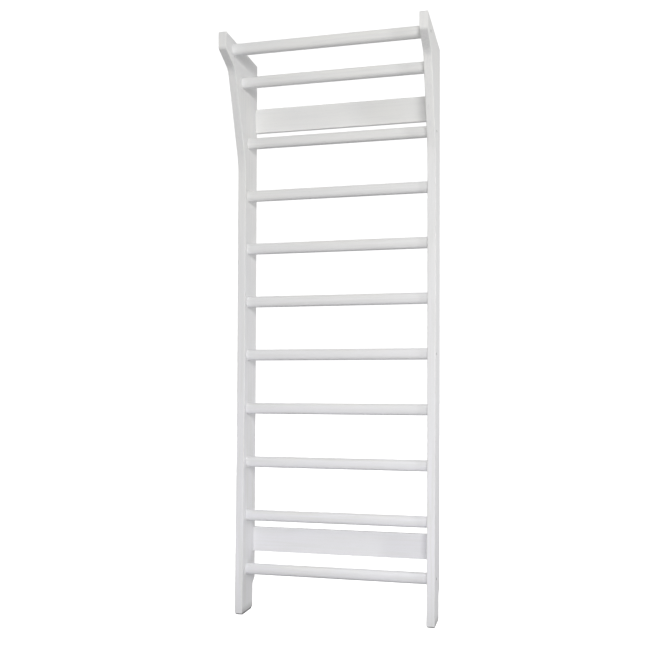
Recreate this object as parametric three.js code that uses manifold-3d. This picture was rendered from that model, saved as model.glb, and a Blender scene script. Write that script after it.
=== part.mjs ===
// Swedish wall bars: two shaped side boards carry oval bars in blind mortises and two flat back rails.
// Millimetres. +X runs along the bars, -Y faces the room and +Z is up.
// Depths are measured from the wall towards the room, heights from the floor, drops from the top.

import * as THREE from 'three';
import { mergeVertices } from 'three/addons/utils/BufferGeometryUtils.js';
import Module from 'manifold-3d';

const wasm = await Module();
wasm.setup();

// Overall size
const OVERALL_WIDTH = 760;
const OVERALL_HEIGHT = 2150;

// Fits
const SEAT_GAP = 0.3;
const OVERCUT = 4;

// Side boards, with the corners of the shaped front edge from the floor up
const BOARD_THICKNESS = 30;
const BOARD_ARRIS_RADIUS = 3;
const FOOT_DEPTH = 147;
const WAIST_DEPTH = 131.5;
const WAIST_HEIGHT = 880;
const WAIST_BLEND = 300;
const SHOULDER_DEPTH = 133;
const SHOULDER_DROP = 428;
const SHOULDER_BLEND = 40;
const NECK_DEPTH = 252;
const NECK_DROP = 105;
const NECK_BLEND = 22;
const HEAD_DEPTH = 350;
const HEAD_FACE_HEIGHT = 63;
const HEAD_BLEND = 9;

// Cut at the back of each foot that lets the skirting board pass
const SKIRTING_DEPTH = 25;
const SKIRTING_HEIGHT = 95;
const SKIRTING_RISE = 20;

// Bars: a ladder of equal steps, and two that lean out towards the room at the top
const BAR_HEIGHT = 42;
const BAR_DEPTH = 36;
const BAR_FULLNESS = 0.71;
const BAR_END_CHAMFER = 1.5;
const MORTISE_DEPTH = 15;
const LADDER_BAR_COUNT = 9;
const LOWEST_BAR_HEIGHT = 166;
const LADDER_TOP_DROP = 340;
const LADDER_BAR_SETBACK = 21.5;
const TOP_BAR_DROP = 40;
const TOP_BAR_SETBACK = 64;
const SECOND_BAR_DROP = 127;
const SECOND_BAR_STEP_BACK = 104;

// Flat rails against the wall, each set on a pair of dowels at either end
const RAIL_THICKNESS = 18;
const RAIL_HEIGHT = 95;
const RAIL_ARRIS_RADIUS = 2.5;
const UPPER_RAIL_DROP = 228;
const LOWER_RAIL_HEIGHT = 267.5;
const DOWEL_DIAMETER = 8;
const DOWEL_CHAMFER = 1;
const DOWEL_SPACING = 56;
const DOWEL_IN_BOARD = 16;
const DOWEL_IN_RAIL = 24;

// Countersunk socket screws through the side boards into some of the bars, counted from the top
const SCREWED_BARS = [1, 3, 7, 11];
const SCREW_LENGTH = 70;
const SCREW_SHANK_DIAMETER = 6;
const SCREW_HEAD_DIAMETER = 12;
const SCREW_TIP_LENGTH = 6;
const SCREW_HEAD_RECESS = 0.5;
const SOCKET_ACROSS_CORNERS = 4.6;
const SOCKET_DEPTH = 2.6;

// Thin pads under the feet
const PAD_THICKNESS = 5;
const PAD_SIDE_INSET = 1;
const PAD_END_INSET = 8;
const PAD_CORNER_RADIUS = 4;

// Facets round each kind of curve
const OVAL_STEPS = 7;
const BLEND_STEPS = 8;
const ARRIS_STEPS = 4;
const ROUND_STEPS = 16;
const SOCKET_SIDES = 6;

// Sizes that follow from those above
const INNER_WIDTH = OVERALL_WIDTH - 2 * BOARD_THICKNESS;
const BOARD_BOTTOM = PAD_THICKNESS + SEAT_GAP;
const LADDER_BAR_REACH = WAIST_DEPTH - LADDER_BAR_SETBACK - BAR_DEPTH / 2;
const TOP_BAR_REACH = HEAD_DEPTH - TOP_BAR_SETBACK - BAR_DEPTH / 2;
const SECOND_BAR_REACH = TOP_BAR_REACH - SECOND_BAR_STEP_BACK;
const BAR_LENGTH = INNER_WIDTH + 2 * (MORTISE_DEPTH - SEAT_GAP);
const RAIL_LENGTH = INNER_WIDTH - 2 * SEAT_GAP;

const PAINT = { color: 0xe9e9e6, roughness: 0.45, metalness: 0 };
const STEEL = { color: 0x2b2b2d, roughness: 0.5, metalness: 0.6 };
const BEECH = { color: 0xd2ab7c, roughness: 0.7, metalness: 0 };
const RUBBER = { color: 0x2c2c2e, roughness: 0.9, metalness: 0 };

// A closed geometry as a solid that can be cut
function solid(geometry) {
  const bare = geometry.clone();
  bare.deleteAttribute('normal');
  bare.deleteAttribute('uv');
  const merged = mergeVertices(bare);
  return new wasm.Manifold(new wasm.Mesh({
    numProp: 3,
    vertProperties: new Float32Array(merged.attributes.position.array),
    triVerts: new Uint32Array(merged.index.array),
  }));
}

// What is left of a blank once every cutter has been taken out of it
function cut(blank, cutters) {
  const left = cutters.reduce((whole, cutter) => whole.subtract(solid(cutter)), solid(blank));
  const { vertProperties, triVerts } = left.getMesh();
  const geometry = new THREE.BufferGeometry();
  geometry.setAttribute('position', new THREE.BufferAttribute(vertProperties, 3));
  geometry.setIndex(new THREE.BufferAttribute(triVerts, 1));
  geometry.computeVertexNormals();
  return geometry;
}

function mesh(name, geometry, finish) {
  const piece = new THREE.Mesh(geometry, new THREE.MeshStandardMaterial(finish));
  piece.name = name;
  return piece;
}

// A profile drawn as (depth, height), given its thickness along X and centred on X = 0.
// The edges of its two faces are rounded over by the radius, or chamfered when there is one step.
function acrossX(profile, thickness, edge, curveSteps, edgeSteps) {
  const geometry = new THREE.ExtrudeGeometry(profile, {
    depth: thickness - 2 * edge,
    curveSegments: curveSteps,
    bevelEnabled: edge > 0,
    bevelThickness: edge,
    bevelSize: edge,
    bevelOffset: -edge,
    bevelSegments: edgeSteps,
  });
  geometry.translate(0, 0, edge - thickness / 2);
  const towardsRoom = new THREE.Vector3(0, -1, 0);
  const up = new THREE.Vector3(0, 0, 1);
  const towardsLeft = new THREE.Vector3(-1, 0, 0);
  return geometry.applyMatrix4(new THREE.Matrix4().makeBasis(towardsRoom, up, towardsLeft));
}

// A closed outline through corners, each eased by a curve that begins one blend length away.
// A blend never takes more than half of the edge it lies on.
function blendedOutline(corners) {
  const outline = new THREE.Shape();
  const eased = (turn, neighbour) => {
    const length = Math.min(turn.blend, turn.at.distanceTo(neighbour.at) / 2);
    return turn.at.clone().add(neighbour.at.clone().sub(turn.at).setLength(length));
  };
  corners.forEach((turn, i) => {
    const start = eased(turn, corners.at(i - 1));
    const end = eased(turn, corners[(i + 1) % corners.length]);
    if (i === 0) {
      outline.moveTo(start.x, start.y);
    } else {
      outline.lineTo(start.x, start.y);
    }
    if (turn.blend > 0) {
      outline.quadraticCurveTo(turn.at.x, turn.at.y, end.x, end.y);
    }
  });
  outline.closePath();
  return outline;
}

function corner(depth, height, blend = 0) {
  return { at: new THREE.Vector2(depth, height), blend };
}

function rectangle(low, high, radius) {
  return blendedOutline([
    corner(low.x, low.y, radius),
    corner(high.x, low.y, radius),
    corner(high.x, high.y, radius),
    corner(low.x, high.y, radius),
  ]);
}

function box(lowX, highX, lowY, highY, lowZ, highZ) {
  const geometry = new THREE.BoxGeometry(highX - lowX, highY - lowY, highZ - lowZ);
  return geometry.translate((lowX + highX) / 2, (lowY + highY) / 2, (lowZ + highZ) / 2);
}

// The bar's oval in four curves. A fullness of 0.55 would make an ellipse, more makes it flatter in front.
function oval(grow) {
  const depth = BAR_DEPTH / 2 + grow;
  const height = BAR_HEIGHT / 2 + grow;
  const fullDepth = BAR_FULLNESS * depth;
  const fullHeight = BAR_FULLNESS * height;
  const outline = new THREE.Shape();
  outline.moveTo(depth, 0);
  outline.bezierCurveTo(depth, fullHeight, fullDepth, height, 0, height);
  outline.bezierCurveTo(-fullDepth, height, -depth, fullHeight, -depth, 0);
  outline.bezierCurveTo(-depth, -fullHeight, -fullDepth, -height, 0, -height);
  outline.bezierCurveTo(fullDepth, -height, depth, -fullHeight, depth, 0);
  return outline;
}

// A turned piece whose axis runs along +X when inward is 1 and along -X when it is -1
function turned(points, inward) {
  const profile = points.map(([radius, along]) => new THREE.Vector2(radius, -along));
  const geometry = new THREE.LatheGeometry(profile.reverse(), ROUND_STEPS);
  return geometry.rotateZ(inward * Math.PI / 2);
}

// Every bar with its number from the top, its depth from the wall and its height above the floor
function barPlaces() {
  const ladderTop = OVERALL_HEIGHT - LADDER_TOP_DROP;
  const pitch = (ladderTop - LOWEST_BAR_HEIGHT) / (LADDER_BAR_COUNT - 1);
  const ladder = Array.from({ length: LADDER_BAR_COUNT }, (_, i) => (
    { depth: LADDER_BAR_REACH, height: ladderTop - i * pitch }
  ));
  return [
    { depth: TOP_BAR_REACH, height: OVERALL_HEIGHT - TOP_BAR_DROP },
    { depth: SECOND_BAR_REACH, height: OVERALL_HEIGHT - SECOND_BAR_DROP },
    ...ladder,
  ].map((place, i) => ({ ...place, number: i + 1, screwed: SCREWED_BARS.includes(i + 1) }));
}

const BARS = barPlaces();

const RAILS = [
  { name: 'upper_back_rail', height: OVERALL_HEIGHT - UPPER_RAIL_DROP },
  { name: 'lower_back_rail', height: LOWER_RAIL_HEIGHT },
];

const SIDES = [
  { name: 'left', sign: -1 },
  { name: 'right', sign: 1 },
];

// Heights of the two dowels at each rail end, from the rail's middle
const DOWEL_OFFSETS = [
  { name: 'upper', height: DOWEL_SPACING / 2 },
  { name: 'lower', height: -DOWEL_SPACING / 2 },
];

// Screw seated with its head just under the face that lies at along = 0
function screwProfile(grow) {
  const head = SCREW_HEAD_DIAMETER / 2;
  const shank = SCREW_SHANK_DIAMETER / 2;
  const neck = SCREW_HEAD_RECESS + head - shank;
  const end = SCREW_HEAD_RECESS + SCREW_LENGTH;
  return [
    [head + grow, SCREW_HEAD_RECESS],
    [shank + grow, neck],
    [shank + grow, end - SCREW_TIP_LENGTH],
    [0, end + grow],
  ];
}

function screwHole(inward) {
  const mouth = SCREW_HEAD_DIAMETER / 2 + SEAT_GAP;
  return turned([[0, -OVERCUT], [mouth, -OVERCUT], ...screwProfile(SEAT_GAP)], inward);
}

function screw(inward) {
  const blank = turned([[0, SCREW_HEAD_RECESS], ...screwProfile(0)], inward);
  const depth = SOCKET_DEPTH + OVERCUT;
  const radius = SOCKET_ACROSS_CORNERS / 2;
  const socket = new THREE.CylinderGeometry(radius, radius, depth, SOCKET_SIDES);
  socket.rotateZ(Math.PI / 2);
  socket.translate(inward * (SCREW_HEAD_RECESS + SOCKET_DEPTH - depth / 2), 0, 0);
  return cut(blank, [socket]);
}

function dowelProfile(grow) {
  const radius = DOWEL_DIAMETER / 2 + grow;
  const chamfer = DOWEL_CHAMFER;
  const low = -DOWEL_IN_BOARD - grow;
  const high = DOWEL_IN_RAIL + grow;
  return [
    [0, low],
    [radius - chamfer, low],
    [radius, low + chamfer],
    [radius, high - chamfer],
    [radius - chamfer, high],
    [0, high],
  ];
}

// The side board before it is bored: rounded over all round, then sawn square at the back and the foot
function boardBlank() {
  const top = OVERALL_HEIGHT;
  const spare = 2 * BOARD_ARRIS_RADIUS;
  const outline = blendedOutline([
    corner(-spare, BOARD_BOTTOM - spare),
    corner(FOOT_DEPTH, BOARD_BOTTOM - spare),
    corner(FOOT_DEPTH, BOARD_BOTTOM),
    corner(WAIST_DEPTH, WAIST_HEIGHT, WAIST_BLEND),
    corner(SHOULDER_DEPTH, top - SHOULDER_DROP, SHOULDER_BLEND),
    corner(NECK_DEPTH, top - NECK_DROP, NECK_BLEND),
    corner(HEAD_DEPTH, top - HEAD_FACE_HEIGHT, HEAD_BLEND),
    corner(HEAD_DEPTH, top, HEAD_BLEND),
    corner(-spare, top),
  ]);
  return acrossX(outline, BOARD_THICKNESS, BOARD_ARRIS_RADIUS, BLEND_STEPS, ARRIS_STEPS);
}

// Waste behind the wall line, below the foot and in the skirting cut, across the board's thickness
function sawnAway() {
  const side = BOARD_THICKNESS / 2 + OVERCUT;
  const spare = 2 * BOARD_ARRIS_RADIUS + OVERCUT;
  const skirting = blendedOutline([
    corner(-spare, BOARD_BOTTOM - spare),
    corner(SKIRTING_DEPTH, BOARD_BOTTOM - spare),
    corner(SKIRTING_DEPTH, SKIRTING_HEIGHT),
    corner(0, SKIRTING_HEIGHT + SKIRTING_RISE),
    corner(-spare, SKIRTING_HEIGHT + SKIRTING_RISE),
  ]);
  return [
    box(-side, side, 0, spare, BOARD_BOTTOM - spare, OVERALL_HEIGHT + OVERCUT),
    box(-side, side, -FOOT_DEPTH - OVERCUT, spare, BOARD_BOTTOM - spare, BOARD_BOTTOM),
    acrossX(skirting, 2 * side, 0, BLEND_STEPS, ARRIS_STEPS),
  ];
}

function sideBoard(side) {
  const inner = -side.sign * BOARD_THICKNESS / 2;
  const outer = -inner;
  const inward = Math.sign(inner);
  const mortises = BARS.map(({ depth, height }) => {
    const hole = acrossX(oval(SEAT_GAP), MORTISE_DEPTH + OVERCUT, 0, OVAL_STEPS, ARRIS_STEPS);
    return hole.translate(inner + inward * (OVERCUT - MORTISE_DEPTH) / 2, -depth, height);
  });
  const screwHoles = BARS.filter((bar) => bar.screwed)
    .map(({ depth, height }) => screwHole(inward).translate(outer, -depth, height));
  const dowelHoles = RAILS.flatMap((rail) => DOWEL_OFFSETS.map((dowel) => (
    turned(dowelProfile(SEAT_GAP), inward).translate(inner, -RAIL_THICKNESS / 2, rail.height + dowel.height)
  )));
  const geometry = cut(boardBlank(), [...sawnAway(), ...mortises, ...screwHoles, ...dowelHoles]);
  const board = mesh(`${side.name}_upright`, geometry, PAINT);
  board.position.x = side.sign * (OVERALL_WIDTH - BOARD_THICKNESS) / 2;
  return board;
}

function footPad(side) {
  const halfWidth = BOARD_THICKNESS / 2 - PAD_SIDE_INSET;
  const plan = rectangle(
    new THREE.Vector2(-halfWidth, -FOOT_DEPTH + PAD_END_INSET),
    new THREE.Vector2(halfWidth, -SKIRTING_DEPTH - PAD_END_INSET),
    PAD_CORNER_RADIUS,
  );
  const options = { depth: PAD_THICKNESS, bevelEnabled: false, curveSegments: BLEND_STEPS };
  const pad = mesh(`${side.name}_foot_pad`, new THREE.ExtrudeGeometry(plan, options), RUBBER);
  pad.position.x = side.sign * (OVERALL_WIDTH - BOARD_THICKNESS) / 2;
  return pad;
}

function bar({ number, depth, height, screwed }) {
  const blank = acrossX(oval(0), BAR_LENGTH, BAR_END_CHAMFER, OVAL_STEPS, 1);
  const holes = SIDES.map(({ sign }) => screwHole(-sign).translate(sign * OVERALL_WIDTH / 2, 0, 0));
  const name = `bar_${String(number).padStart(2, '0')}`;
  const piece = mesh(name, screwed ? cut(blank, holes) : blank, PAINT);
  piece.position.set(0, -depth, height);
  return piece;
}

function barScrew(side, { number, depth, height }) {
  const name = `${side.name}_screw_bar_${String(number).padStart(2, '0')}`;
  const piece = mesh(name, screw(-side.sign), STEEL);
  piece.position.set(side.sign * OVERALL_WIDTH / 2, -depth, height);
  return piece;
}

function backRail({ name, height }) {
  const section = rectangle(
    new THREE.Vector2(-RAIL_THICKNESS / 2, -RAIL_HEIGHT / 2),
    new THREE.Vector2(RAIL_THICKNESS / 2, RAIL_HEIGHT / 2),
    RAIL_ARRIS_RADIUS,
  );
  const blank = acrossX(section, RAIL_LENGTH, 0, BLEND_STEPS, ARRIS_STEPS);
  const holes = SIDES.flatMap(({ sign }) => DOWEL_OFFSETS.map((dowel) => (
    turned(dowelProfile(SEAT_GAP), -sign).translate(sign * INNER_WIDTH / 2, 0, dowel.height)
  )));
  const rail = mesh(name, cut(blank, holes), PAINT);
  rail.position.set(0, -RAIL_THICKNESS / 2, height);
  return rail;
}

function railDowel(side, rail, dowel) {
  const name = `${side.name}_${dowel.name}_dowel_${rail.name}`;
  const piece = mesh(name, turned(dowelProfile(0), -side.sign), BEECH);
  piece.position.set(side.sign * INNER_WIDTH / 2, -RAIL_THICKNESS / 2, rail.height + dowel.height);
  return piece;
}

function group(pieces) {
  const parts = new THREE.Group();
  parts.add(...pieces);
  return parts;
}

const screwedBars = BARS.filter((place) => place.screwed);

const wallBars = group([
  group(SIDES.map(sideBoard)),
  group(SIDES.map(footPad)),
  group(BARS.map(bar)),
  group(SIDES.flatMap((side) => screwedBars.map((place) => barScrew(side, place)))),
  group(RAILS.map(backRail)),
  group(SIDES.flatMap((side) => RAILS.flatMap((rail) => (
    DOWEL_OFFSETS.map((dowel) => railDowel(side, rail, dowel))
  )))),
]);

// The wall line is moved back so that the origin lies under the middle of the whole depth
wallBars.position.y = HEAD_DEPTH / 2;

export default wallBars;
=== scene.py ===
# %% [markdown]
# # White Swedish wall bars
#
# Wall bars are a climbing ladder for a gym or a hallway. Two shaped side boards stand against the
# wall, eleven oval bars run between them, and two flat rails at the back take the wall fixings.
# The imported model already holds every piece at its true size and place. This lesson gives each
# piece a finer mesh and a finish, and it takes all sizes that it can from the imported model.

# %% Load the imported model
import math

import bmesh
import bpy
from mathutils import Matrix, Vector


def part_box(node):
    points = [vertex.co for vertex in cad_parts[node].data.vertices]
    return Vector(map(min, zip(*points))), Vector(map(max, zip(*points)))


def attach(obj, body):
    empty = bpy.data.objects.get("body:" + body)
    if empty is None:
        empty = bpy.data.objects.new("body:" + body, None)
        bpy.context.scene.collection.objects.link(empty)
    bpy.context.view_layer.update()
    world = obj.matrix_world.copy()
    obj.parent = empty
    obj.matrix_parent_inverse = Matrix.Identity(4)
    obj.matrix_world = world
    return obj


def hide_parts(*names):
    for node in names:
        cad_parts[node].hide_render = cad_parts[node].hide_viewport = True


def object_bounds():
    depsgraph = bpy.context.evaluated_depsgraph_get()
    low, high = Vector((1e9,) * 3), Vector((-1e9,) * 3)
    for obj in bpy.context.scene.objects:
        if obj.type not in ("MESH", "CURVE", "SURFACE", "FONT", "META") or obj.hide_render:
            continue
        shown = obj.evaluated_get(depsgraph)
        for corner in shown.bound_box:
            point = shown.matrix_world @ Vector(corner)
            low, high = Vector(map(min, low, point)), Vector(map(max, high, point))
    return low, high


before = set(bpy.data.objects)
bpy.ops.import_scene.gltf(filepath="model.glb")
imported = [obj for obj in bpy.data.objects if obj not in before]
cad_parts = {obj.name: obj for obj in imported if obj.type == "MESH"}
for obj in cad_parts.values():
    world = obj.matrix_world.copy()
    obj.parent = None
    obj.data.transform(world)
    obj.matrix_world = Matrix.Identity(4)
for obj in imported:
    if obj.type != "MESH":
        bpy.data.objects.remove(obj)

cad_low, cad_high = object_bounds()


def mm(metres):
    """A length in millimetres, rounded for printing."""
    return round(1000 * metres, 1)


print("packed model:", len(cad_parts), "nodes,", [mm(v) for v in cad_high - cad_low], "mm")

# %% [markdown]
# ## The camera
#
# The bars were photographed from a little to the right, with the camera held almost level at about
# a seated person's eye height. A level camera keeps the side boards upright in the picture. It
# could be tilted up to reach the top of the ladder, but then the boards would lean together, so the
# frame is lifted with the lens shift, as on a view camera.

# %% Camera
CAMERA_PLACE = Vector((0.7529, -3.0636, 0.8486))
CAMERA_TURN = math.radians(14.02)
CAMERA_TILT = math.radians(1.182)
CAMERA_LEAN = math.radians(0.205)
LENS = 47.12
LENS_LIFT = 0.0706
SENSOR_WIDTH = 36.0

camera = bpy.data.objects.new("camera", bpy.data.cameras.new("camera"))
camera.data.sensor_width = SENSOR_WIDTH
camera.data.lens = LENS
camera.data.shift_y = LENS_LIFT
camera.matrix_world = (
    Matrix.Translation(CAMERA_PLACE)
    @ Matrix.Rotation(CAMERA_TURN, 4, "Z")
    @ Matrix.Rotation(math.pi / 2 + CAMERA_TILT, 4, "X")
    @ Matrix.Rotation(CAMERA_LEAN, 4, "Z")
)
bpy.context.scene.collection.objects.link(camera)
bpy.context.scene.camera = camera
camera_away = (CAMERA_PLACE - (cad_low + cad_high) / 2).length
print("camera", round(camera_away, 3), "m from the middle of the bars")

# %% [markdown]
# ## Wires for materials
#
# A procedural material is a graph of nodes, and node graphs are tedious to write one link at a
# time. Wrapping an output socket in a small class lets sums be written as Python expressions:
# `1 - mask` adds a Math node. Every other kind of node goes through one method, which sets the
# node's settings first and then fills or links its sockets.

# %% Wire
class Wire:
    """An output socket of a node tree. Arithmetic on wires adds Math nodes to that tree."""

    def __init__(self, tree, socket=None):
        self.tree = tree
        self.socket = socket

    def node(self, kind, settings=None, sockets=None, out=0):
        """A new node with its settings and sockets filled in, as the wire of one of its outputs."""
        made = self.tree.nodes.new(kind)
        for name, value in (settings or {}).items():
            setattr(made, name, value)
        for name, value in (sockets or {}).items():
            if isinstance(value, Wire):
                self.tree.links.new(value.socket, made.inputs[name])
            else:
                made.inputs[name].default_value = value
        return Wire(self.tree, made.outputs[out] if made.outputs else None)

    def math(self, operation, first, second):
        return self.node("ShaderNodeMath", {"operation": operation}, {0: first, 1: second})

    def __add__(self, other):
        return self.math("ADD", self, other)

    __radd__ = __add__

    def __sub__(self, other):
        return self.math("SUBTRACT", self, other)

    def __rsub__(self, other):
        return self.math("SUBTRACT", other, self)

    def __mul__(self, other):
        return self.math("MULTIPLY", self, other)

    def __pow__(self, other):
        return self.math("POWER", self, other)


print("wire operators: + - * ** on node sockets")

# %% [markdown]
# ## Small tools for every finish
#
# All the finishes here are built from the same few ideas: noise that is stretched along the grain,
# a smooth step that picks out part of a noise, and a mix of two colours. Each is a short function
# on wires. Coordinates come from the object itself, in metres, so a noise scale of 1000 means
# features about a millimetre wide. The names of the noise scales below say so: bands per metre,
# pores per metre.

# %% Noise, step and mix
# The Mix node has sockets for numbers, vectors and colours. These are the ones it uses for colours.
MIX_AMOUNT, MIX_BASE, MIX_COLOUR = 0, 6, 7
MIX_RESULT = 2


def new_finish(name):
    """A material with an empty node tree, and a first wire to build on."""
    material = bpy.data.materials.new(name)
    material.use_nodes = True
    material.node_tree.nodes.clear()
    return material, Wire(material.node_tree)


def noise(place, scale, stretch=(1, 1, 1), detail=2.0, distortion=0.0):
    """Noise from 0 to 1, with its coordinates multiplied by stretch."""
    spot = place.node("ShaderNodeVectorMath", {"operation": "MULTIPLY"}, {0: place, 1: stretch})
    return place.node(
        "ShaderNodeTexNoise",
        sockets={"Vector": spot, "Scale": scale, "Detail": detail, "Distortion": distortion},
    )


def between(value, low, high):
    """0 where the value is under low, 1 where it is over high, and a smooth step between."""
    return value.node(
        "ShaderNodeMapRange",
        {"interpolation_type": "SMOOTHSTEP", "clamp": True},
        {"Value": value, "From Min": low, "From Max": high},
    )


def tint(amount, base, colour):
    """The base colour, turned towards another by an amount from 0 to 1."""
    return amount.node(
        "ShaderNodeMix",
        {"data_type": "RGBA"},
        {MIX_AMOUNT: amount, MIX_BASE: base, MIX_COLOUR: colour},
        out=MIX_RESULT,
    )


def axes(vector):
    """The three numbers of a vector as three wires."""
    split = vector.node("ShaderNodeSeparateXYZ", sockets={0: vector})
    return [Wire(split.tree, outlet) for outlet in split.socket.node.outputs]


def surface(bench, colour, roughness, height, relief, constants):
    """The Principled shader with a bump of relief metres, and its output node."""
    bump = bench.node(
        "ShaderNodeBump", sockets={"Distance": relief, "Height": height}, out="Normal"
    )
    shader = bench.node(
        "ShaderNodeBsdfPrincipled",
        sockets={"Base Color": colour, "Roughness": roughness, "Normal": bump, **constants},
        out="BSDF",
    )
    bench.node("ShaderNodeOutputMaterial", sockets={"Surface": shader})


print("finish tools ready")

# %% [markdown]
# ## White paint over wood
#
# The side boards, bars and rails are solid wood under two coats of white satin paint. Up close the
# grain still shows through: faint bands where growth rings are cut, and fine fibres and pores that
# the paint doesn't fill. A plain white shader would look like plastic. So the colour drifts by a
# few hundredths along the grain, the roughness follows it, and the fibres and the slight dimpling
# of sprayed paint are a bump less than a tenth of a millimetre high. Use leaves its traces too:
# hands polish the bars and the edges. Light is painted in as well: the white is a little warmer
# towards the top and cooler towards the bottom, the side faces of the boards are painted darker
# close to the floor as shade, and the rails' tops are painted darker as shade, streaked like dust.
# Each trace is a mask made from place and direction.

# %% Painted wood
# The first two whites are painted light: cool light low down, warm light high up.
WHITE_WITH_COOL_LIGHT = (0.862, 0.860, 0.888, 1)
WHITE_WITH_WARM_LIGHT = (0.873, 0.871, 0.858, 1)
BAND_WHITE = (0.820, 0.820, 0.817, 1)
COOL_WHITE = (0.845, 0.848, 0.860, 1)
PORE_GREY = (0.70, 0.695, 0.68, 1)
WORN_WHITE = (0.875, 0.860, 0.830, 1)
SHADE_AND_DUST_GREY = (0.46, 0.46, 0.46, 1)
GRAIN_STRETCH = 0.035
ACROSS_X = (GRAIN_STRETCH, 1, 1)
UP_Z = (1, 1, GRAIN_STRETCH)
BANDS_PER_M, FIBRES_PER_M, PORES_PER_M = 95, 850, 1500
DIMPLES_PER_M, DRIFTS_PER_M = 620, 3.5
WARM_LIGHT_FROM, WARM_LIGHT_TO = 0.3, 2.1
COOL_SHARE, PORE_SHARE, WORN_SHARE = 0.6, 0.30, 0.45
SATIN_ROUGH = 0.50
PAINT_RELIEF = 0.00010
PAINT_IOR = 1.48


def painted_wood(name, grain, worn, painted_shade_and_dust=None, figure=1.0):
    """Satin white paint over wood. grain is the stretch of its noise, worn makes the rubbed
    places, the next mask the places painted grey as shade (streaked like dust on the rails' tops),
    and figure is the strength of the growth rings."""
    material, bench = new_finish(name)
    place = bench.node("ShaderNodeTexCoord", out="Object")
    facing = bench.node("ShaderNodeTexCoord", out="Normal")
    bands = noise(place, BANDS_PER_M, grain, detail=3.0, distortion=0.6)
    fibres = noise(place, FIBRES_PER_M, grain, detail=4.0)
    pores = between(noise(place, PORES_PER_M, grain, detail=1.0), 0.66, 0.74)
    drift = noise(place, DRIFTS_PER_M, detail=1.0)
    dimples = noise(place, DIMPLES_PER_M, detail=1.0)
    rubbed = worn(place, facing)
    _, _, up_ladder = axes(place)
    # Painted light: the white turns from cool at the bottom to warm at the top.
    white = tint(between(up_ladder, WARM_LIGHT_FROM, WARM_LIGHT_TO), WHITE_WITH_COOL_LIGHT, WHITE_WITH_WARM_LIGHT)
    white = tint(between(bands, 0.42, 0.68) * figure, white, BAND_WHITE)
    white = tint(between(drift, 0.35, 0.70) * COOL_SHARE, white, COOL_WHITE)
    white = tint(pores * PORE_SHARE, white, PORE_GREY)
    white = tint(rubbed * WORN_SHARE, white, WORN_WHITE)
    # Painted shade: grey near the floor on the boards, and on the rails' tops with dust streaks.
    if painted_shade_and_dust:
        white = tint(painted_shade_and_dust(place, facing), white, SHADE_AND_DUST_GREY)
    roughness = SATIN_ROUGH + bands * 0.08 + pores * 0.15 - rubbed * 0.12
    height = fibres * 0.55 + dimples * 0.35 + bands * (0.5 * figure) - pores * 0.5
    surface(bench, white, roughness, height, PAINT_RELIEF, {"IOR": PAINT_IOR})
    return material


print("paint over", BANDS_PER_M, "growth bands a metre, relief", mm(PAINT_RELIEF), "mm")

# %% Traces of use and painted shade
WEAR_PER_M = 60
# Painted shade on the boards' side faces close to the floor
FLOOR_SHADE_PER_M = 45
FLOOR_SHADE_RAGGED = 0.012
FLOOR_SHADE_FULL, FLOOR_SHADE_END = 0.010, 0.040
FLOOR_SHADE_SHARE = 0.7
# Painted shade on the rails' tops, with streaks like dust
RAIL_TOP_SHADE, RAIL_TOP_DUST_STREAKS = 0.40, 0.35
STREAK_STRETCH = (0.3, 1, 1)
GRIPS_PER_M = 28
GRIP_STRETCH = (0.35, 1, 1)
# Squares of the distance from the middle of a bar
GRIP_FULL, GRIP_END = 0.02, 0.07
RAIL_FIGURE = 0.5


def patchy(place):
    """Patches where an edge has lost its fresh paint."""
    return between(noise(place, WEAR_PER_M, detail=3.0), 0.35, 0.65)


def arris_of_board(place, facing):
    """Rounded edges of a side board, where its broad face turns into the narrow edge."""
    sideways, _, _ = axes(facing)
    flat = sideways * sideways
    return flat * (1 - flat) * 4 * patchy(place)


def floor_shade_on_board(place, facing):
    """The broad faces of a side board close to the floor, painted darker as the floor's shade."""
    sideways, _, _ = axes(facing)
    _, _, height = axes(place)
    ragged = height + noise(place, FLOOR_SHADE_PER_M, detail=3.0) * FLOOR_SHADE_RAGGED
    return sideways * sideways * (1 - between(ragged, FLOOR_SHADE_FULL, FLOOR_SHADE_END)) * FLOOR_SHADE_SHARE


def arris_of_rail(place, facing):
    """Rounded edges of a rail, where its face turns into its top or underside."""
    _, forward, upward = axes(facing)
    both = forward * upward
    return both * both * 4 * patchy(place)


def rail_top_shade_and_dust(place, facing):
    """The narrow top of a rail, painted darker as shade, in uneven streaks like dust."""
    _, _, upward = axes(facing)
    streaks = noise(place, WEAR_PER_M, STREAK_STRETCH, detail=3.0)
    return between(upward, 0.50, 0.95) * (RAIL_TOP_SHADE + streaks * RAIL_TOP_DUST_STREAKS)


def grip_of_bar(place, facing):
    """The top and front of a bar near its middle, which hands and feet polish."""
    sideways, _, _ = axes(place)
    _, _, upward = axes(facing)
    middle = 1 - between(sideways * sideways, GRIP_FULL, GRIP_END)
    patches = between(noise(place, GRIPS_PER_M, GRIP_STRETCH, detail=3.0), 0.38, 0.62)
    return middle * between(upward, -0.3, 0.9) * patches


board_paint = painted_wood("white_paint_on_side_boards", UP_Z, arris_of_board, floor_shade_on_board)
bar_paint = painted_wood("white_paint_on_bars", ACROSS_X, grip_of_bar)
rail_paint = painted_wood(
    "white_paint_on_rails", ACROSS_X, arris_of_rail, rail_top_shade_and_dust, RAIL_FIGURE
)
print("painted finishes:", board_paint.name, bar_paint.name, rail_paint.name)

# %% [markdown]
# ## Making a mesh from rings
#
# Most of these pieces are a section carried along a line: a bar is an oval carried from end to
# end, a side board is its outline carried through its thickness. Skinning a stack of rings covers
# them all. Extruding a curve would work too, but rings give exact control over the rounded edges.

# %% Skin, bore and settle
SHARP_TURN = math.radians(34)


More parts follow.
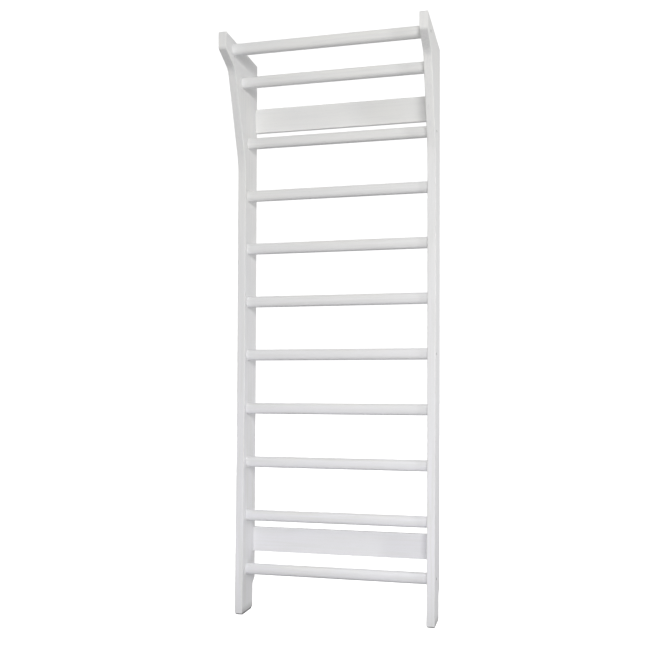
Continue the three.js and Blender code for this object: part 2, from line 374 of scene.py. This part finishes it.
def skinned(name, rings):
    """A closed object through rings of points. Every ring has as many points as the first."""
    shell = bmesh.new()
    loops = [[shell.verts.new(point) for point in ring] for ring in rings]
    for near, far in zip(loops, loops[1:]):
        for i in range(len(near)):
            j = (i + 1) % len(near)
            shell.faces.new((near[i], near[j], far[j], far[i]))
    shell.faces.new(loops[0])
    shell.faces.new(loops[-1])
    bmesh.ops.recalc_face_normals(shell, faces=shell.faces)
    mesh = bpy.data.meshes.new(name)
    shell.to_mesh(mesh)
    shell.free()
    piece = bpy.data.objects.new(name, mesh)
    bpy.context.scene.collection.objects.link(piece)
    return piece


def bored(piece, cutters):
    """Takes the cutters out of a piece, applies the cuts and deletes the cutters."""
    for cutter in cutters:
        cut = piece.modifiers.new("bore", "BOOLEAN")
        cut.operation = "DIFFERENCE"
        cut.solver = "EXACT"
        cut.object = cutter
    now = bpy.context.evaluated_depsgraph_get()
    piece.data = bpy.data.meshes.new_from_object(piece.evaluated_get(now))
    piece.modifiers.clear()
    for cutter in cutters:
        bpy.data.objects.remove(cutter)


def settled(piece, node, finish):
    """Gives a piece its finish and even shading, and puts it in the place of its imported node."""
    piece.data.materials.clear()
    piece.data.materials.append(finish)
    piece.data.shade_smooth()
    piece.data.set_sharp_from_angle(angle=SHARP_TURN)
    even = piece.modifiers.new("even_shading", "WEIGHTED_NORMAL")
    even.keep_sharp = True
    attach(piece, "root")
    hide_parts(node)


print("mesh tools ready, edges over", round(math.degrees(SHARP_TURN)), "degrees stay sharp")

# %% [markdown]
# ## Places of the bars and screws
#
# Bars, screws and dowels fit into holes in the boards and rails. On the real object the holes are
# made first, and the parts are pushed in. Here each hole takes its place and size from the packed
# box of the part that sits in it, grown by a hair's breadth, so a part can't miss its hole. A bar
# is planed a little flatter in front than an ellipse, so its oval is drawn as four Bezier curves:
# the further their handles reach, the fuller the oval.

# %% Ovals
FIT = 0.0003
SNUG_FIT = 0.0001
OVAL_FULLNESS = 0.71
QUARTER_STEPS = 18
BARS = sorted(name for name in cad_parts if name.startswith("bar_"))


def quarter_oval(t):
    """A point of the curve from (1, 0) to (0, 1), whose handles reach towards (1, 1)."""
    s = 1 - t
    ahead = s ** 3 + 3 * s * s * t + 3 * s * t * t * OVAL_FULLNESS
    up = 3 * s * s * t * OVAL_FULLNESS + 3 * s * t * t + t ** 3
    return ahead, up


OVAL = [quarter_oval(i / QUARTER_STEPS) for i in range(QUARTER_STEPS)]
OVAL += [(-up, ahead) for ahead, up in OVAL]
OVAL += [(-ahead, -up) for ahead, up in OVAL]


def oval_ring(x, centre, half_depth, half_height):
    """An upright oval in the plane across the bar at x."""
    return [(x, centre.y + half_depth * ahead, centre.z + half_height * up) for ahead, up in OVAL]


def bar_section(node):
    """The middle of a bar with half of its depth and height."""
    low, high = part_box(node)
    return (low + high) / 2, (high.y - low.y) / 2, (high.z - low.z) / 2


for node in BARS[:3]:
    middle, half_depth, half_height = bar_section(node)
    print(node, mm(2 * half_depth), "x", mm(2 * half_height), "mm at height", mm(middle.z), "mm")

# %% [markdown]
# ## Socket screws
#
# Four countersunk screws on each side hold the bars from the outside. Their heads show as small
# dark dots in the white boards, so they are taken as blackened steel. Each is a stack of rings
# round its axis: the head with a six-sided socket, the cone under it, a threaded shank and a tip.
# The thread is a ridge that climbs as it goes round: the radius depends on angle and distance.

# %% Blackened steel
BLACK_STEEL = (0.014, 0.014, 0.015, 1)
STEEL_RUBBED = (0.050, 0.050, 0.053, 1)
TURNS_PER_M, CLOUDS_PER_M = 5200, 420
STEEL_ROUGH = 0.52
TURNING_RELIEF = 0.00002


def blackened_steel(name):
    """Blackened steel: turning marks round the head, and clouds where the black is thin."""
    material, bench = new_finish(name)
    place = bench.node("ShaderNodeTexCoord", out="Object")
    _, across, up = axes(place)
    radius = (across * across + up * up) ** 0.5
    rings = bench.node("ShaderNodeCombineXYZ", sockets={0: radius})
    turning = noise(rings, TURNS_PER_M, detail=2.0)
    clouds = noise(place, CLOUDS_PER_M, detail=3.0)
    colour = tint(between(clouds, 0.48, 0.72), BLACK_STEEL, STEEL_RUBBED)
    roughness = STEEL_ROUGH + clouds * 0.16 + turning * 0.08
    surface(bench, colour, roughness, turning, TURNING_RELIEF, {"Metallic": 1.0})
    return material


screw_steel = blackened_steel("blackened_screws")
print("finish", screw_steel.name)

# %% Screw shape
ROUND_POINTS = 48
SOCKET_HALF_WIDTH = 0.00199
SOCKET_DEEP = 0.0026
SOCKET_POINT = 0.0006
SOCKET_CHAMFER = 0.00035
HEAD_RIM = 0.0004
SHANK = 0.003
THREAD_PITCH = 0.0026
THREAD_CORE = 0.0021
THREAD_STEPS = 6
RIDGE_SHARE = 0.3
PLAIN_NECK = 0.012
TIP_LONG = 0.006
TIP_SHARE = 0.6
FINE_POINT = 0.0002
ROUND_TURNS = [2 * math.pi * i / ROUND_POINTS for i in range(ROUND_POINTS)]


def turned_ring(along, radius_at):
    """A ring round the X axis. radius_at gives the radius for each angle."""
    return [(along, radius_at(t) * math.cos(t), radius_at(t) * math.sin(t)) for t in ROUND_TURNS]


def six_sided(half_width):
    """The radius of a hexagon by angle."""
    sector = math.pi / 3
    return lambda t: half_width / math.cos((t % sector) - sector / 2)


def round_of(radius):
    """The same radius at every angle."""
    return lambda t: radius


def threaded(along):
    """The radius of the thread by angle at one place along the shank."""
    def radius(t):
        climb = (along / THREAD_PITCH - t / (2 * math.pi)) % 1.0
        ridge = max(0.0, 1 - abs(climb - 0.5) / RIDGE_SHARE)
        return THREAD_CORE + (SHANK - THREAD_CORE) * ridge
    return radius


def screw_rings(length, head):
    """From the socket's floor out to the head's rim, then down the cone and thread to the tip."""
    start = PLAIN_NECK + THREAD_PITCH / 4
    step = THREAD_PITCH / THREAD_STEPS
    count = int((length - TIP_LONG - start) / step)
    thread = [start + i * step for i in range(count + 1)]
    return [
        turned_ring(SOCKET_DEEP + SOCKET_POINT, round_of(FINE_POINT)),
        turned_ring(SOCKET_DEEP, six_sided(SOCKET_HALF_WIDTH)),
        turned_ring(SOCKET_CHAMFER, six_sided(SOCKET_HALF_WIDTH)),
        turned_ring(0, six_sided(SOCKET_HALF_WIDTH + SOCKET_CHAMFER)),
        turned_ring(0, round_of(head - HEAD_RIM)),
        turned_ring(HEAD_RIM / 2, round_of(head)),
        turned_ring(HEAD_RIM, round_of(head - HEAD_RIM / 2)),
        turned_ring(head - SHANK, round_of(SHANK)),
        turned_ring(PLAIN_NECK, round_of(SHANK)),
        *[turned_ring(along, threaded(along)) for along in thread],
        turned_ring(length - TIP_LONG / 2, round_of(THREAD_CORE * TIP_SHARE)),
        turned_ring(length, round_of(FINE_POINT)),
    ]


def screw_seat(node):
    """Middle of a screw's head, the way it points along X, its length and its head radius."""
    low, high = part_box(node)
    inward = -1 if high.x > 0 else 1
    face = high.x if inward < 0 else low.x
    seat = Vector((face, (low.y + high.y) / 2, (low.z + high.z) / 2))
    return seat, inward, high.x - low.x, (high.z - low.z) / 2


def pointing(inward, rings):
    """Rings made along +X, turned over for a screw that points the other way."""
    return [[(inward * x, y, z) for x, y, z in ring] for ring in rings]


SCREWS = sorted(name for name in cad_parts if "_screw_" in name)
for node in SCREWS:
    seat, inward, length, head = screw_seat(node)
    rings = pointing(inward, screw_rings(length, head))
    screw = skinned(node.replace("_screw_", "_socket_screw_"), rings)
    screw.location = seat
    settled(screw, node, screw_steel)
print(len(SCREWS), "socket screws,", len(screw.data.vertices), "points each")

# %% [markdown]
# ## Cutters for the holes
#
# A hole can be modelled into a mesh by hand, or cut with a Boolean modifier. Each board has a row
# of oval mortises, screw holes and dowel holes, so cutting is simpler and keeps every hole true to
# what sits in it. One joined cutter holds all holes of a kind, because they don't touch.

# %% Hole cutters
PAST_FACE = 0.004


def joined(name, pieces):
    """Several cutters as one object."""
    whole = bmesh.new()
    for piece in pieces:
        piece.data.transform(piece.matrix_basis)
        whole.from_mesh(piece.data)
        bpy.data.objects.remove(piece)
    mesh = bpy.data.meshes.new(name)
    whole.to_mesh(mesh)
    whole.free()
    cutter = bpy.data.objects.new(name, mesh)
    bpy.context.scene.collection.objects.link(cutter)
    return cutter


def mortise_cutter(inner_face, outward):
    """Oval pockets for all the bars, from just inside the room face to the bars' ends."""
    pockets = []
    for node in BARS:
        middle, half_depth, half_height = bar_section(node)
        low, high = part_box(node)
        end = (high.x if outward > 0 else low.x) + outward * FIT
        mouth = inner_face - outward * PAST_FACE
        grown = half_depth + SNUG_FIT, half_height + SNUG_FIT
        rings = [oval_ring(x, middle, *grown) for x in (mouth, end)]
        pockets.append(skinned("pocket", rings))
    return joined("mortises", pockets)


def screw_hole_cutter(nodes):
    """Countersunk holes for these screws, open to the outside."""
    holes = []
    for node in nodes:
        seat, inward, length, head = screw_seat(node)
        stack = [(-PAST_FACE, head + FIT), (0, head + FIT), (head - SHANK, SHANK + FIT)]
        stack += [(length - TIP_LONG, SHANK + FIT), (length + FIT, FIT)]
        rings = [turned_ring(along, round_of(radius)) for along, radius in stack]
        hole = skinned("hole", pointing(inward, rings))
        hole.location = seat
        holes.append(hole)
    return joined("screw_holes", holes)


def dowel_hole_cutter(nodes):
    """Straight holes for these dowels."""
    holes = []
    for node in nodes:
        low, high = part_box(node)
        radius = (high.z - low.z) / 2 + FIT
        ends = (low.x - FIT, high.x + FIT)
        hole = skinned("hole", [turned_ring(x, round_of(radius)) for x in ends])
        hole.location = (0, (low.y + high.y) / 2, (low.z + high.z) / 2)
        holes.append(hole)
    return joined("dowel_holes", holes)


DOWELS = sorted(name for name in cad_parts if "_dowel_" in name)
holes = len(BARS), len(SCREWS) // 2, len(DOWELS) // 2
print("mortises, screw holes and dowel holes in each board:", *holes)

# %% [markdown]
# ## Side boards
#
# The side board is the piece that takes a joiner the most care. Its front edge starts wide at the
# foot, draws in to a waist, leans out at the neck and ends in a head that carries the top bar
# clear of the wall. A router rounds the front and top edges. The back and the foot are sawn square,
# with a notch so that the skirting board can stay on the wall. The outline is drawn once from its
# corners, each eased by a curve, and carried through the thickness in rings that follow the
# rounded edge.

# %% Board outline
FOOT = 0.147
WAIST, WAIST_UP, WAIST_EASE = 0.1315, 0.880, 0.300
SHOULDER, SHOULDER_DOWN, SHOULDER_EASE = 0.133, 0.428, 0.040
NECK, NECK_DOWN, NECK_EASE = 0.252, 0.105, 0.022
HEAD_FACE, HEAD_EASE = 0.063, 0.009
NOTCH_DEEP, NOTCH_UP, NOTCH_SLOPE = 0.025, 0.095, 0.020
EASE_STEPS = 14
board_low, board_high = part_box("left_upright")
board_thick = board_high.x - board_low.x
head_depth = board_high.y - board_low.y


def eased(corners):
    """An open line through corners of (depth, height, ease), with a curve at each eased one."""
    line = [Vector(corners[0][:2])]
    for before, (depth, height, ease), after in zip(corners, corners[1:], corners[2:]):
        here = Vector((depth, height))
        if not ease:
            line.append(here)
            continue
        back, ahead = (Vector(end[:2]) - here for end in (before, after))
        start = here + back.normalized() * min(ease, back.length / 2)
        end = here + ahead.normalized() * min(ease, ahead.length / 2)
        for i in range(EASE_STEPS + 1):
            t = i / EASE_STEPS
            line.append(start * (1 - t) ** 2 + here * 2 * t * (1 - t) + end * t ** 2)
    return line + [Vector(corners[-1][:2])]


top = board_high.z
front_line = eased([
    (FOOT, board_low.z, 0),
    (WAIST, WAIST_UP, WAIST_EASE),
    (SHOULDER, top - SHOULDER_DOWN, SHOULDER_EASE),
    (NECK, top - NECK_DOWN, NECK_EASE),
    (head_depth, top - HEAD_FACE, HEAD_EASE),
    (head_depth, top, HEAD_EASE),
    (0, top, 0),
])
back_line = [
    Vector((0, NOTCH_UP + NOTCH_SLOPE)),
    Vector((NOTCH_DEEP, NOTCH_UP)),
    Vector((NOTCH_DEEP, board_low.z)),
]
print("outline of", len(front_line) + len(back_line), "points, head", mm(head_depth), "mm deep")

# %% Boards
ARRIS = 0.003
ARRIS_STEPS = 6
TO_WALL, DOWN = Vector((-1, 0)), Vector((0, -1))


def drawn_in(line, by):
    """The line moved inwards by a distance, its two ends sliding along the square cuts."""
    ways = [(after - before).normalized() for before, after in zip(line, line[1:])]
    sides = [Vector((-way.y, way.x)) for way in ways]
    moved = [line[0] + TO_WALL * (by / TO_WALL.dot(sides[0]))]
    for point, side_before, side_after in zip(line[1:-1], sides, sides[1:]):
        inwards = (side_before + side_after).normalized()
        moved.append(point + inwards * (by / inwards.dot(side_before)))
    moved.append(line[-1] + DOWN * (by / DOWN.dot(sides[-1])))
    return moved


def board_rings(middle):
    """Outlines through the thickness, drawn in where the front and top edges round over."""
    turns = [math.pi / 2 * i / ARRIS_STEPS for i in range(ARRIS_STEPS + 1)]
    half = board_thick / 2
    sections = []
    for turn in reversed(turns):
        across = half - ARRIS + ARRIS * math.sin(turn)
        sections.append((-across, ARRIS * (1 - math.cos(turn))))
    sections += [(-x, by) for x, by in reversed(sections)]
    return [
        [(middle + x, board_high.y - p.x, p.y) for p in drawn_in(front_line, by) + back_line]
        for x, by in sections
    ]


for side in ("left", "right"):
    low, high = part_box(f"{side}_upright")
    outward = 1 if high.x > 0 else -1
    inner_face = low.x if outward > 0 else high.x
    board = skinned(f"{side}_side_board", board_rings((low.x + high.x) / 2))
    bored(board, [
        mortise_cutter(inner_face, outward),
        screw_hole_cutter([name for name in SCREWS if name.startswith(side)]),
        dowel_hole_cutter([name for name in DOWELS if name.startswith(side)]),
    ])
    settled(board, f"{side}_upright", board_paint)
    print(board.name, len(board.data.polygons), "faces")

# %% [markdown]
# ## Bars
#
# Each bar is shaped to an oval that is a little taller than deep, which a hand closes round more
# easily than a round one. Its ends are eased so that they slide into the mortises. A cylinder
# scaled flat would give an oval but not the eased ends, so the bar is skinned from ovals.

# %% Oval bars
END_EASE = 0.0015
BAR_SPANS = 12


def bar_rings(node):
    """Ovals from one eased end to the other, in the bar's own place."""
    middle, half_depth, half_height = bar_section(node)
    low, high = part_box(node)
    first, last = low.x + END_EASE, high.x - END_EASE
    spans = [first + (last - first) * i / BAR_SPANS for i in range(BAR_SPANS + 1)]
    eased_in = half_depth - END_EASE, half_height - END_EASE
    full = [oval_ring(x, middle, half_depth, half_height) for x in spans]
    return [oval_ring(low.x, middle, *eased_in), *full, oval_ring(high.x, middle, *eased_in)]


for node in BARS:
    bar = skinned(node.replace("bar_", "oval_bar_"), bar_rings(node))
    held_by = [name for name in SCREWS if name.endswith(node)]
    if held_by:
        bored(bar, [screw_hole_cutter(held_by)])
    settled(bar, node, bar_paint)
print(len(BARS), "oval bars")

# %% [markdown]
# ## Back rails
#
# Two flat rails lie against the wall. They stiffen the ladder and hold it to the wall. A planed
# board has slightly rounded long edges and sawn ends, so its section is a rectangle with quarter
# circles at the corners, carried along its length. Holes in the ends take the dowels.

# %% Rails
RAIL_ARRIS = 0.0025
CORNER_STEPS = 6
RAIL_SPANS = 12


def rounded_rectangle(low, high, radius):
    """Corners of a rectangle as points, each turned into a quarter circle."""
    near, far = [v + radius for v in low], [v - radius for v in high]
    centres = [(far[0], far[1]), (near[0], far[1]), (near[0], near[1]), (far[0], near[1])]
    points = []
    for quarter, (across, up) in enumerate(centres):
        turns = [math.pi / 2 * (quarter + i / CORNER_STEPS) for i in range(CORNER_STEPS + 1)]
        points += [(across + radius * math.cos(t), up + radius * math.sin(t)) for t in turns]
    return points


for name in ("upper", "lower"):
    node = f"{name}_back_rail"
    low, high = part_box(node)
    section = rounded_rectangle((low.y, low.z), (high.y, high.z), RAIL_ARRIS)
    spans = [low.x + (high.x - low.x) * i / RAIL_SPANS for i in range(RAIL_SPANS + 1)]
    rail = skinned(f"{name}_wall_rail", [[(x, y, z) for y, z in section] for x in spans])
    bored(rail, [dowel_hole_cutter([dowel for dowel in DOWELS if dowel.endswith(node)])])
    settled(rail, node, rail_paint)
    print(rail.name, "section", mm(high.y - low.y), "x", mm(high.z - low.z), "mm")

# %% [markdown]
# ## Dowels
#
# Hidden in each rail end are two beech dowels. Shop dowels are fluted so that glue can spread, and
# their ends are eased. They don't show once the ladder is together, but the assembly is only whole
# with them. The flutes come from a radius that dips at regular angles.

# %% Beech
BEECH = (0.60, 0.40, 0.235, 1)
BEECH_DARK = (0.43, 0.265, 0.145, 1)
BEECH_FLECK = (0.30, 0.175, 0.09, 1)
BEECH_BANDS_PER_M, FLECKS_PER_M = 700, 2600
FLECK_STRETCH = (0.12, 1, 1)
FLECK_SHARE = 0.7
BEECH_ROUGH = 0.62
BEECH_RELIEF = 0.00006
BEECH_IOR = 1.45


def bare_beech(name):
    """Unpainted beech: soft bands along the grain with short dark flecks."""
    material, bench = new_finish(name)
    place = bench.node("ShaderNodeTexCoord", out="Object")
    bands = noise(place, BEECH_BANDS_PER_M, ACROSS_X, detail=3.0, distortion=0.5)
    flecks = between(noise(place, FLECKS_PER_M, FLECK_STRETCH, detail=1.0), 0.64, 0.72)
    colour = tint(between(bands, 0.35, 0.70), BEECH, BEECH_DARK)
    colour = tint(flecks * FLECK_SHARE, colour, BEECH_FLECK)
    roughness = BEECH_ROUGH + bands * 0.15
    surface(bench, colour, roughness, bands - flecks * 0.4, BEECH_RELIEF, {"IOR": BEECH_IOR})
    return material


dowel_beech = bare_beech("bare_beech_dowels")
print("finish", dowel_beech.name)

# %% Fluted dowels
FLUTES = 12
FLUTE_DEEP = 0.0003
DOWEL_EASE = 0.001


def fluted(radius):
    """The radius of a fluted dowel by angle."""
    return lambda t: radius - FLUTE_DEEP * max(0.0, math.cos(FLUTES * t))


for node in DOWELS:
    low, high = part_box(node)
    radius = (high.z - low.z) / 2
    length = high.x - low.x
    stack = [(0, radius - DOWEL_EASE), (DOWEL_EASE, radius)]
    stack += [(length - along, reach) for along, reach in reversed(stack)]
    rings = [turned_ring(along, fluted(reach)) for along, reach in stack]
    dowel = skinned(node.replace("_dowel_", "_fluted_dowel_"), rings)
    dowel.location = (low.x, (low.y + high.y) / 2, (low.z + high.z) / 2)
    settled(dowel, node, dowel_beech)
print(len(DOWELS), "fluted dowels")

# %% [markdown]
# ## Foot pads
#
# A thin dark line under each foot is taken as a rubber pad that keeps the sawn end off the floor.
# Its near-black rubber also serves as painted shade where the foot meets the floor. It is set in a
# little from the board all round. Moulded rubber is never quite sharp, so the pad's rim is rounded
# over in a few small steps, and the rubber has a fine stipple.

# %% Rubber
# The near-black rubber also stands in as painted shade under each foot.
BLACK_RUBBER_AND_SHADE = (0.014, 0.014, 0.015, 1)
RUBBER_DUSTY = (0.040, 0.039, 0.038, 1)
STIPPLES_PER_M, SMUDGES_PER_M = 1800, 90
RUBBER_ROUGH = 0.72
STIPPLE_RELIEF = 0.00012
RUBBER_IOR = 1.52


def stippled_rubber(name):
    """Near-black rubber, its black also painted shade under the feet, with a fine stipple and dust
    in its hollows.
    """
    material, bench = new_finish(name)
    place = bench.node("ShaderNodeTexCoord", out="Object")
    stipple = noise(place, STIPPLES_PER_M, detail=2.0)
    dust = between(noise(place, SMUDGES_PER_M, detail=4.0), 0.40, 0.70) * (1 - stipple)
    colour = tint(dust, BLACK_RUBBER_AND_SHADE, RUBBER_DUSTY)
    roughness = RUBBER_ROUGH + dust * 0.2
    surface(bench, colour, roughness, stipple, STIPPLE_RELIEF, {"IOR": RUBBER_IOR})
    return material


pad_rubber = stippled_rubber("stippled_rubber_pads")
print("finish", pad_rubber.name)

# %% Pads
PAD_CORNER = 0.004
PAD_RIM = 0.0008
RIM_STEPS = 3

for side in ("left", "right"):
    node = f"{side}_foot_pad"
    low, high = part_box(node)
    rim = []
    for i in range(RIM_STEPS + 1):
        turn = math.pi / 2 * i / RIM_STEPS
        rim.append((PAD_RIM * (1 - math.cos(turn)), PAD_RIM * (1 - math.sin(turn))))
    levels = [(low.z + down, by) for by, down in reversed(rim)]
    levels += [(high.z - down, by) for by, down in rim]
    rings = []
    for z, by in levels:
        near, far = (low.x + by, low.y + by), (high.x - by, high.y - by)
        rings.append([(x, y, z) for x, y in rounded_rectangle(near, far, PAD_CORNER - by)])
    settled(skinned(f"{side}_rubber_pad", rings), node, pad_rubber)
print("rubber pads", mm(high.z - low.z), "mm thick")

# %% [markdown]
# ## Studio
#
# The bars stand on a white floor in front of nothing but white, in light so soft that only the
# undersides and the meeting places of pieces fall into shade. Pale walls round a studio give such
# light, so the world is a dome with a wide glow from each side except the front. The wall to the
# left is the brightest, and it ends at the floor. The camera sees plain white in place of the dome.
# The floor glows a little by itself to stay white, and it throws no light on the bars: a strip that
# lies on it does that. A long key panel in front and a small one at the side draw the shadows that
# the bars cast on the left board. A near panel at the right lights the outside of the right board
# and reaches behind it to the left one. A low strip keeps the feet as bright as the rest, and a
# panel far behind shows the back to anyone who walks round.

# %% Dome
# The way to the middle of each glow, and its strength there
GLOWS = {
    "right": ((1, 0, 0), 0.325),
    "behind": ((0, 1, 0), 0.406),
    "above": ((0, 0, 1), 0.289),
    "left": ((-1, 0, 0), 0.245),
}
LEFT_WALL = 0.760
WALL_FOOT = 0.03
DOME_WHITE = (1.0, 0.998, 0.992, 1)
PURE_WHITE = (1, 1, 1, 1)
SEEN_STRENGTH = 1.10

dome = bpy.data.worlds.new("studio_dome")
bpy.context.scene.world = dome
dome.use_nodes = True
dome.node_tree.nodes.clear()
bench = Wire(dome.node_tree)
way = bench.node("ShaderNodeTexCoord", out="Generated")


def lobe(axis):
    """1 straight along the axis, falling to 0 at right angles to it."""
    towards = bench.node(
        "ShaderNodeVectorMath", {"operation": "DOT_PRODUCT"}, {0: way, 1: axis}, out="Value"
    )
    return bench.math("MAXIMUM", towards, 0)


_, _, upward = axes(way)
walls = lobe(GLOWS["left"][0]) * between(upward, -WALL_FOOT, WALL_FOOT) * LEFT_WALL
for axis, strength in GLOWS.values():
    walls = walls + lobe(axis) * strength
glow = bench.node("ShaderNodeBackground", sockets={"Color": DOME_WHITE, "Strength": walls})
plain = bench.node(
    "ShaderNodeBackground", sockets={"Color": PURE_WHITE, "Strength": SEEN_STRENGTH}
)
seen = bench.node("ShaderNodeLightPath", out="Is Camera Ray")
light = bench.node("ShaderNodeMixShader", sockets={0: seen, 1: glow, 2: plain})
bench.node("ShaderNodeOutputWorld", sockets={"Surface": light})
bpy.context.scene.view_settings.view_transform = "Standard"
print("dome glows", {side: strength for side, (axis, strength) in GLOWS.items()})

# %% Floor
FLOOR_HALF = 60.0
FLOOR_SPANS = 4
FLOOR_PALE = (0.85, 0.85, 0.85, 1)
FLOOR_GLOW = 0.80

flat = bmesh.new()
bmesh.ops.create_grid(flat, x_segments=FLOOR_SPANS, y_segments=FLOOR_SPANS, size=FLOOR_HALF)
floor = bpy.data.objects.new("floor", bpy.data.meshes.new("floor"))
flat.to_mesh(floor.data)
flat.free()
bpy.context.scene.collection.objects.link(floor)
floor_finish, bench = new_finish("white_floor")
matt = bench.node("ShaderNodeBsdfDiffuse", sockets={"Color": FLOOR_PALE})
shine = bench.node("ShaderNodeEmission", sockets={"Strength": FLOOR_GLOW})
both = bench.node("ShaderNodeAddShader", sockets={0: matt, 1: shine})
bench.node("ShaderNodeOutputMaterial", sockets={"Surface": both})
floor.data.materials.append(floor_finish)
floor.visible_diffuse = False
floor.visible_glossy = False
floor.visible_shadow = False
print("floor", 2 * FLOOR_HALF, "m wide")

# %% Light panels
# Place, the point it faces, width and height in metres, then watts and colour
PANELS = {
    "key_panel": ((1.15, -4.28, 1.88), (0.0, 0.0, 1.1), (1.3, 0.5), 95.0, (1.0, 0.997, 0.985)),
    "side_panel": ((3.84, -2.22, 1.80), (0.0, 0.0, 1.1), (0.5, 0.5), 28.5, (1.0, 0.99, 0.97)),
    "near_panel": ((2.0, 0.5, 1.25), (0.0, 0.0, 1.25), (1.2, 1.2), 9.7, (0.98, 0.985, 1.0)),
    "floor_strip": ((0.3, -0.8, 0.003), (0.3, -0.8, 1.0), (3.0, 1.0), 6.2, (0.93, 0.93, 1.0)),
    "low_strip": ((0.0, -0.32, 0.04), (0.0, 0.10, 0.06), (1.4, 0.06), 0.25, (0.93, 0.92, 1.0)),
    "back_panel": ((-5.0, 12.0, 2.2), (0.0, 0.0, 1.1), (3.0, 3.0), 240.0, (1.0, 0.995, 0.985)),
}

for name, (place, aim, (wide, tall), watts, colour) in PANELS.items():
    panel = bpy.data.objects.new(name, bpy.data.lights.new(name, "AREA"))
    panel.data.shape = "RECTANGLE"
    panel.data.size, panel.data.size_y = wide, tall
    panel.data.energy = watts
    panel.data.color = colour
    panel.location = place
    panel.rotation_mode = "QUATERNION"
    panel.rotation_quaternion = (Vector(aim) - Vector(place)).to_track_quat("-Z", "Y")
    panel.visible_camera = False
    bpy.context.scene.collection.objects.link(panel)
print(len(PANELS), "light panels")

# %% [markdown]
# ## Measure and finish
#
# The dressed ladder must not grow past the imported one. The last line prints the imported one's
# size.

# %% Sizes and finish
print("packed size", [mm(v) for v in cad_high - cad_low], "mm")
